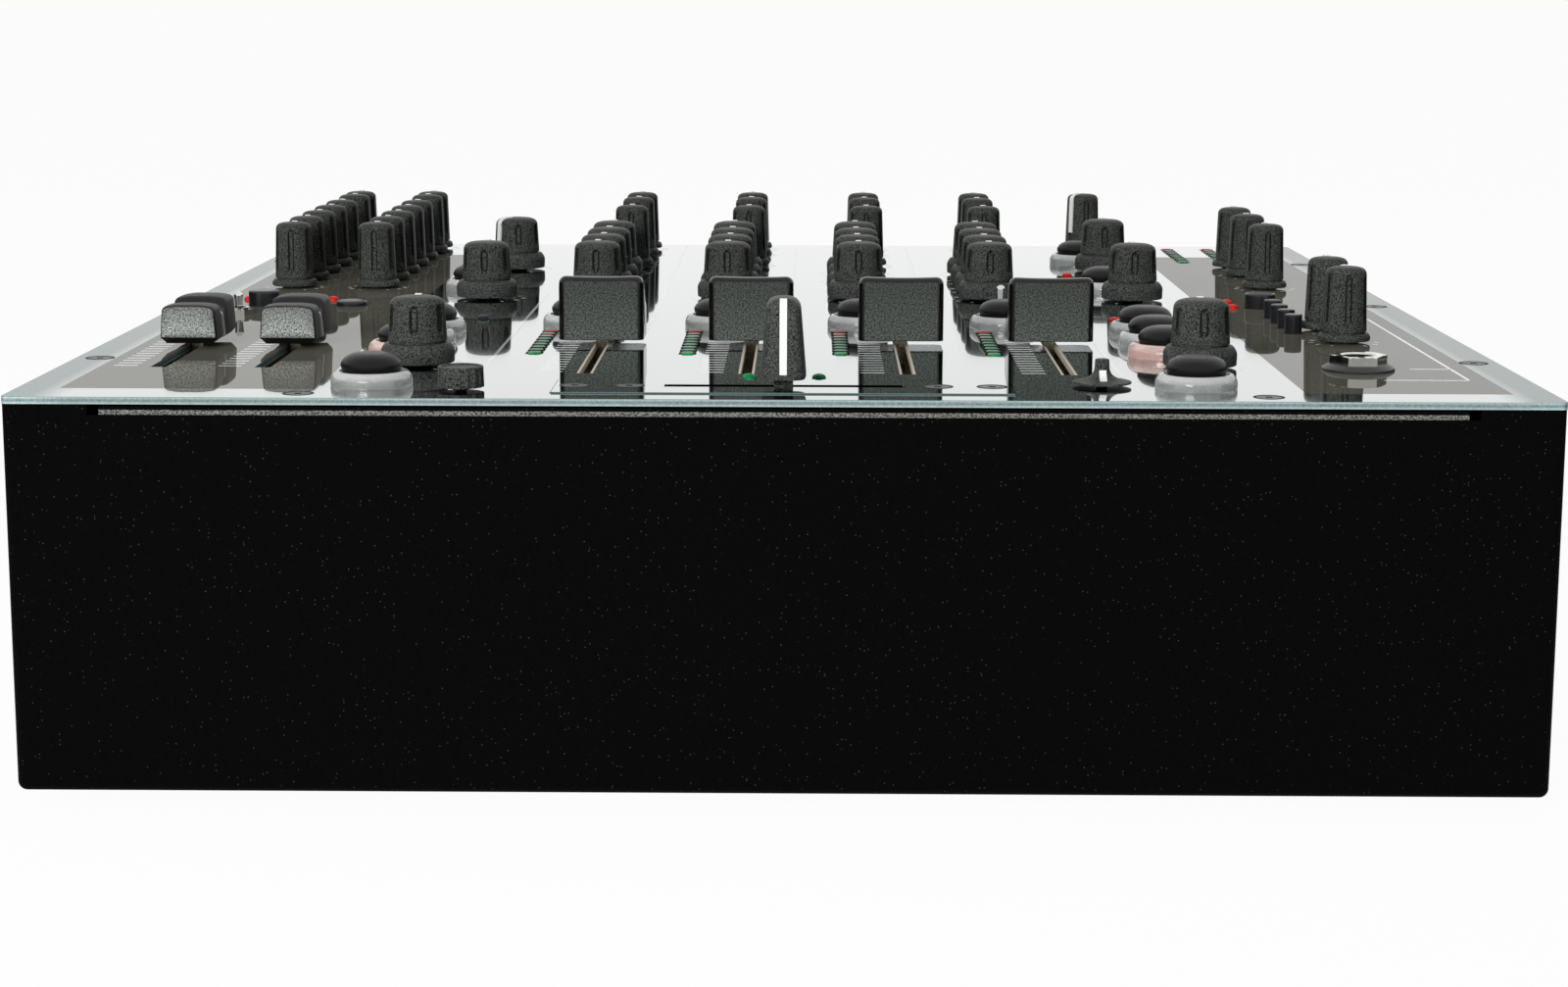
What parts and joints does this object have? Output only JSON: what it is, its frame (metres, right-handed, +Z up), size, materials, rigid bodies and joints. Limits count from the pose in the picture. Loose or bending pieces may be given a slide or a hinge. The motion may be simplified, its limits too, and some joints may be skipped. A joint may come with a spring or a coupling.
{
  "type": "dj mixer",
  "caption": "Free-standing club mixer: folded steel case with a lacquered panel of rotary knobs, faders, lit push buttons and toggles, and rear sockets.",
  "frame": {"origin": "centre of the footprint, rear sockets included, on the surface that the feet stand on", "axes": "+X to the user's right, +Y away from the user towards the sockets, +Z up"},
  "size_m": [0.32, 0.367, 0.1071],
  "materials": {
    "tray_powder_coat": "fine-textured black powder coat on folded steel",
    "panel_lacquer": "glossy blue-grey metallic lacquer on steel sheet",
    "circuit_board": "green solder mask",
    "transformer_steel": "wound and taped",
    "control_bodies": "moulded",
    "track_steel": "plated steel",
    "chrome": "bright chrome plate",
    "light_ring": "milky translucent moulding",
    "lamp_plastic": "tinted clear moulding",
    "socket_plastic": "moulded black plastic",
    "foot_rubber": "moulded rubber",
    "screw_steel": "blackened steel",
    "knob_plastic": "soft satin black moulding with a white inlay",
    "fader_plastic": "spark-textured black moulding",
    "button_rubber": "smooth black rubber",
    "button_plastic": "moulded black plastic"
  },
  "bodies": {
    "chassis": {"base_tray": "tray_powder_coat", "rear_panel": "tray_powder_coat", "top_panel": "panel_lacquer", "crossfader_plate": "panel_lacquer", "control_board": "circuit_board", "power_supply": "transformer_steel", "board_controls": "control_bodies", "fader_tracks": "track_steel", "toggle_bushes": "chrome", "button_rings": "light_ring", "indicator_lamps": "lamp_plastic", "headphone_socket": "socket_plastic", "rear_sockets": "socket_plastic", "xlr_sockets": "socket_plastic", "mains_inlet": "socket_plastic", "feet": "foot_rubber", "screws": "screw_steel", "level_knobs": "knob_plastic"},
    "eq_low_knob_1": {"eq_low_knob_1": "knob_plastic"},
    "eq_low_mid_knob_1": {"eq_low_mid_knob_1": "knob_plastic"},
    "eq_high_mid_knob_1": {"eq_high_mid_knob_1": "knob_plastic"},
    "eq_high_knob_1": {"eq_high_knob_1": "knob_plastic"},
    "eq_low_knob_2": {"eq_low_knob_2": "knob_plastic"},
    "eq_low_mid_knob_2": {"eq_low_mid_knob_2": "knob_plastic"},
    "eq_high_mid_knob_2": {"eq_high_mid_knob_2": "knob_plastic"},
    "eq_high_knob_2": {"eq_high_knob_2": "knob_plastic"},
    "eq_low_knob_3": {"eq_low_knob_3": "knob_plastic"},
    "eq_low_mid_knob_3": {"eq_low_mid_knob_3": "knob_plastic"},
    "eq_high_mid_knob_3": {"eq_high_mid_knob_3": "knob_plastic"},
    "eq_high_knob_3": {"eq_high_knob_3": "knob_plastic"},
    "eq_low_knob_4": {"eq_low_knob_4": "knob_plastic"},
    "eq_low_mid_knob_4": {"eq_low_mid_knob_4": "knob_plastic"},
    "eq_high_mid_knob_4": {"eq_high_mid_knob_4": "knob_plastic"},
    "eq_high_knob_4": {"eq_high_knob_4": "knob_plastic"},
    "filter_1_frequency_knob": {"filter_1_frequency_knob": "knob_plastic"},
    "filter_1_resonance_knob": {"filter_1_resonance_knob": "knob_plastic"},
    "filter_1_depth_knob": {"filter_1_depth_knob": "knob_plastic"},
    "filter_2_frequency_knob": {"filter_2_frequency_knob": "knob_plastic"},
    "filter_2_resonance_knob": {"filter_2_resonance_knob": "knob_plastic"},
    "filter_2_depth_knob": {"filter_2_depth_knob": "knob_plastic"},
    "headphone_level_knob": {"headphone_level_knob": "knob_plastic"},
    "headphone_mix_knob": {"headphone_mix_knob": "knob_plastic"},
    "booth_level_knob": {"booth_level_knob": "knob_plastic"},
    "curve_knob": {"curve_knob": "knob_plastic"},
    "selector_knob": {"selector_knob": "knob_plastic"},
    "channel_fader_1": {"channel_fader_1": "fader_plastic"},
    "channel_fader_2": {"channel_fader_2": "fader_plastic"},
    "channel_fader_3": {"channel_fader_3": "fader_plastic"},
    "channel_fader_4": {"channel_fader_4": "fader_plastic"},
    "mic_fader_1": {"mic_fader_1": "fader_plastic"},
    "mic_fader_2": {"mic_fader_2": "fader_plastic"},
    "crossfader": {"crossfader": "fader_plastic"},
    "cue_buttons": {"cue_buttons": "button_rubber"},
    "filter_1_buttons": {"filter_1_buttons": "button_rubber"},
    "filter_2_buttons": {"filter_2_buttons": "button_rubber"},
    "round_buttons": {"round_buttons": "button_plastic"},
    "small_buttons": {"small_buttons": "button_plastic"},
    "toggle_levers": {"toggle_levers": "chrome"},
    "mic_toggle_lever": {"mic_toggle_lever": "chrome"},
    "power_rocker": {"power_rocker": "button_plastic"}
  },
  "joints": [
    {"name": "eq_low_1_turn", "type": "hinge", "parent": "chassis", "child": "eq_low_knob_1", "pos_m": [-0.0518, 0.0115, 0.088], "axis": [0, 0, -1], "range_deg": [-145, 145]},
    {"name": "eq_low_mid_1_turn", "type": "hinge", "parent": "chassis", "child": "eq_low_mid_knob_1", "pos_m": [-0.0518, 0.034, 0.088], "axis": [0, 0, -1], "range_deg": [-145, 145]},
    {"name": "eq_high_mid_1_turn", "type": "hinge", "parent": "chassis", "child": "eq_high_mid_knob_1", "pos_m": [-0.0518, 0.0565, 0.088], "axis": [0, 0, -1], "range_deg": [-145, 145]},
    {"name": "eq_high_1_turn", "type": "hinge", "parent": "chassis", "child": "eq_high_knob_1", "pos_m": [-0.0518, 0.079, 0.088], "axis": [0, 0, -1], "range_deg": [-145, 145]},
    {"name": "eq_low_2_turn", "type": "hinge", "parent": "chassis", "child": "eq_low_knob_2", "pos_m": [-0.0167, 0.0115, 0.088], "axis": [0, 0, -1], "range_deg": [-145, 145]},
    {"name": "eq_low_mid_2_turn", "type": "hinge", "parent": "chassis", "child": "eq_low_mid_knob_2", "pos_m": [-0.0167, 0.034, 0.088], "axis": [0, 0, -1], "range_deg": [-145, 145]},
    {"name": "eq_high_mid_2_turn", "type": "hinge", "parent": "chassis", "child": "eq_high_mid_knob_2", "pos_m": [-0.0167, 0.0565, 0.088], "axis": [0, 0, -1], "range_deg": [-145, 145]},
    {"name": "eq_high_2_turn", "type": "hinge", "parent": "chassis", "child": "eq_high_knob_2", "pos_m": [-0.0167, 0.079, 0.088], "axis": [0, 0, -1], "range_deg": [-145, 145]},
    {"name": "eq_low_3_turn", "type": "hinge", "parent": "chassis", "child": "eq_low_knob_3", "pos_m": [0.0184, 0.0115, 0.088], "axis": [0, 0, -1], "range_deg": [-145, 145]},
    {"name": "eq_low_mid_3_turn", "type": "hinge", "parent": "chassis", "child": "eq_low_mid_knob_3", "pos_m": [0.0184, 0.034, 0.088], "axis": [0, 0, -1], "range_deg": [-145, 145]},
    {"name": "eq_high_mid_3_turn", "type": "hinge", "parent": "chassis", "child": "eq_high_mid_knob_3", "pos_m": [0.0184, 0.0565, 0.088], "axis": [0, 0, -1], "range_deg": [-145, 145]},
    {"name": "eq_high_3_turn", "type": "hinge", "parent": "chassis", "child": "eq_high_knob_3", "pos_m": [0.0184, 0.079, 0.088], "axis": [0, 0, -1], "range_deg": [-145, 145]},
    {"name": "eq_low_4_turn", "type": "hinge", "parent": "chassis", "child": "eq_low_knob_4", "pos_m": [0.0535, 0.0115, 0.088], "axis": [0, 0, -1], "range_deg": [-145, 145]},
    {"name": "eq_low_mid_4_turn", "type": "hinge", "parent": "chassis", "child": "eq_low_mid_knob_4", "pos_m": [0.0535, 0.034, 0.088], "axis": [0, 0, -1], "range_deg": [-145, 145]},
    {"name": "eq_high_mid_4_turn", "type": "hinge", "parent": "chassis", "child": "eq_high_mid_knob_4", "pos_m": [0.0535, 0.0565, 0.088], "axis": [0, 0, -1], "range_deg": [-145, 145]},
    {"name": "eq_high_4_turn", "type": "hinge", "parent": "chassis", "child": "eq_high_knob_4", "pos_m": [0.0535, 0.079, 0.088], "axis": [0, 0, -1], "range_deg": [-145, 145]},
    {"name": "filter_1_frequency_turn", "type": "hinge", "parent": "chassis", "child": "filter_1_frequency_knob", "pos_m": [-0.0815, -0.1295, 0.088], "axis": [0, 0, -1], "range_deg": [-145, 145]},
    {"name": "filter_1_resonance_turn", "type": "hinge", "parent": "chassis", "child": "filter_1_resonance_knob", "pos_m": [-0.0815, 0.01, 0.088], "axis": [0, 0, -1], "range_deg": [-145, 145]},
    {"name": "filter_1_depth_turn", "type": "hinge", "parent": "chassis", "child": "filter_1_depth_knob", "pos_m": [-0.0815, 0.0915, 0.088], "axis": [0, 0, -1], "range_deg": [-145, 145]},
    {"name": "filter_2_frequency_turn", "type": "hinge", "parent": "chassis", "child": "filter_2_frequency_knob", "pos_m": [0.0919, -0.1295, 0.088], "axis": [0, 0, -1], "range_deg": [-145, 145]},
    {"name": "filter_2_resonance_turn", "type": "hinge", "parent": "chassis", "child": "filter_2_resonance_knob", "pos_m": [0.0919, 0.01, 0.088], "axis": [0, 0, -1], "range_deg": [-145, 145]},
    {"name": "filter_2_depth_turn", "type": "hinge", "parent": "chassis", "child": "filter_2_depth_knob", "pos_m": [0.0919, 0.0915, 0.088], "axis": [0, 0, -1], "range_deg": [-145, 145]},
    {"name": "headphone_level_turn", "type": "hinge", "parent": "chassis", "child": "headphone_level_knob", "pos_m": [0.1322, -0.0825, 0.088], "axis": [0, 0, -1], "range_deg": [-145, 145]},
    {"name": "headphone_mix_turn", "type": "hinge", "parent": "chassis", "child": "headphone_mix_knob", "pos_m": [0.1322, -0.058, 0.088], "axis": [0, 0, -1], "range_deg": [-145, 145]},
    {"name": "booth_level_turn", "type": "hinge", "parent": "chassis", "child": "booth_level_knob", "pos_m": [0.1322, 0.0415, 0.088], "axis": [0, 0, -1], "range_deg": [-145, 145]},
    {"name": "curve_turn", "type": "hinge", "parent": "chassis", "child": "curve_knob", "pos_m": [-0.0672, -0.17, 0.088], "axis": [0, 0, -1], "range_deg": [-145, 145]},
    {"name": "selector_turn", "type": "hinge", "parent": "chassis", "child": "selector_knob", "pos_m": [0.0672, -0.1605, 0.088], "axis": [0, 0, -1], "range_deg": [-60, 60]},
    {"name": "channel_fader_1_slide", "type": "slide", "parent": "chassis", "child": "channel_fader_1", "axis": [0, 1, 0], "range_m": [-0.0545, 0.0055]},
    {"name": "channel_fader_2_slide", "type": "slide", "parent": "chassis", "child": "channel_fader_2", "axis": [0, 1, 0], "range_m": [-0.0545, 0.0055]},
    {"name": "channel_fader_3_slide", "type": "slide", "parent": "chassis", "child": "channel_fader_3", "axis": [0, 1, 0], "range_m": [-0.0545, 0.0055]},
    {"name": "channel_fader_4_slide", "type": "slide", "parent": "chassis", "child": "channel_fader_4", "axis": [0, 1, 0], "range_m": [-0.0545, 0.0055]},
    {"name": "mic_fader_1_slide", "type": "slide", "parent": "chassis", "child": "mic_fader_1", "axis": [0, 1, 0], "range_m": [-0.0415, 0.0185]},
    {"name": "mic_fader_2_slide", "type": "slide", "parent": "chassis", "child": "mic_fader_2", "axis": [0, 1, 0], "range_m": [-0.0415, 0.0185]},
    {"name": "crossfader_slide", "type": "slide", "parent": "chassis", "child": "crossfader", "axis": [1, 0, 0], "range_m": [-0.0225, 0.0225]},
    {"name": "cue_buttons_press", "type": "slide", "parent": "chassis", "child": "cue_buttons", "axis": [0, 0, -1], "range_m": [0, 0.0012], "stiffness_N_per_m": 800, "springref_m": -0.002},
    {"name": "filter_1_buttons_press", "type": "slide", "parent": "chassis", "child": "filter_1_buttons", "axis": [0, 0, -1], "range_m": [0, 0.0012], "stiffness_N_per_m": 800, "springref_m": -0.002},
    {"name": "filter_2_buttons_press", "type": "slide", "parent": "chassis", "child": "filter_2_buttons", "axis": [0, 0, -1], "range_m": [0, 0.0012], "stiffness_N_per_m": 800, "springref_m": -0.002},
    {"name": "round_buttons_press", "type": "slide", "parent": "chassis", "child": "round_buttons", "axis": [0, 0, -1], "range_m": [0, 0.0012], "stiffness_N_per_m": 800, "springref_m": -0.002},
    {"name": "small_buttons_press", "type": "slide", "parent": "chassis", "child": "small_buttons", "axis": [0, 0, -1], "range_m": [0, 0.0012], "stiffness_N_per_m": 800, "springref_m": -0.002},
    {"name": "toggle_tilt", "type": "hinge", "parent": "chassis", "child": "toggle_levers", "pos_m": [0, -0.0075, 0.0865], "axis": [1, 0, 0], "range_deg": [-12, 12]},
    {"name": "mic_toggle_tilt", "type": "hinge", "parent": "chassis", "child": "mic_toggle_lever", "pos_m": [-0.1406, -0.0305, 0.0865], "axis": [1, 0, 0], "range_deg": [-12, 12]},
    {"name": "power_rocker_tilt", "type": "hinge", "parent": "chassis", "child": "power_rocker", "pos_m": [0.124, 0.1735, 0.0578], "axis": [1, 0, 0], "range_deg": [-9, 9]}
  ]
}
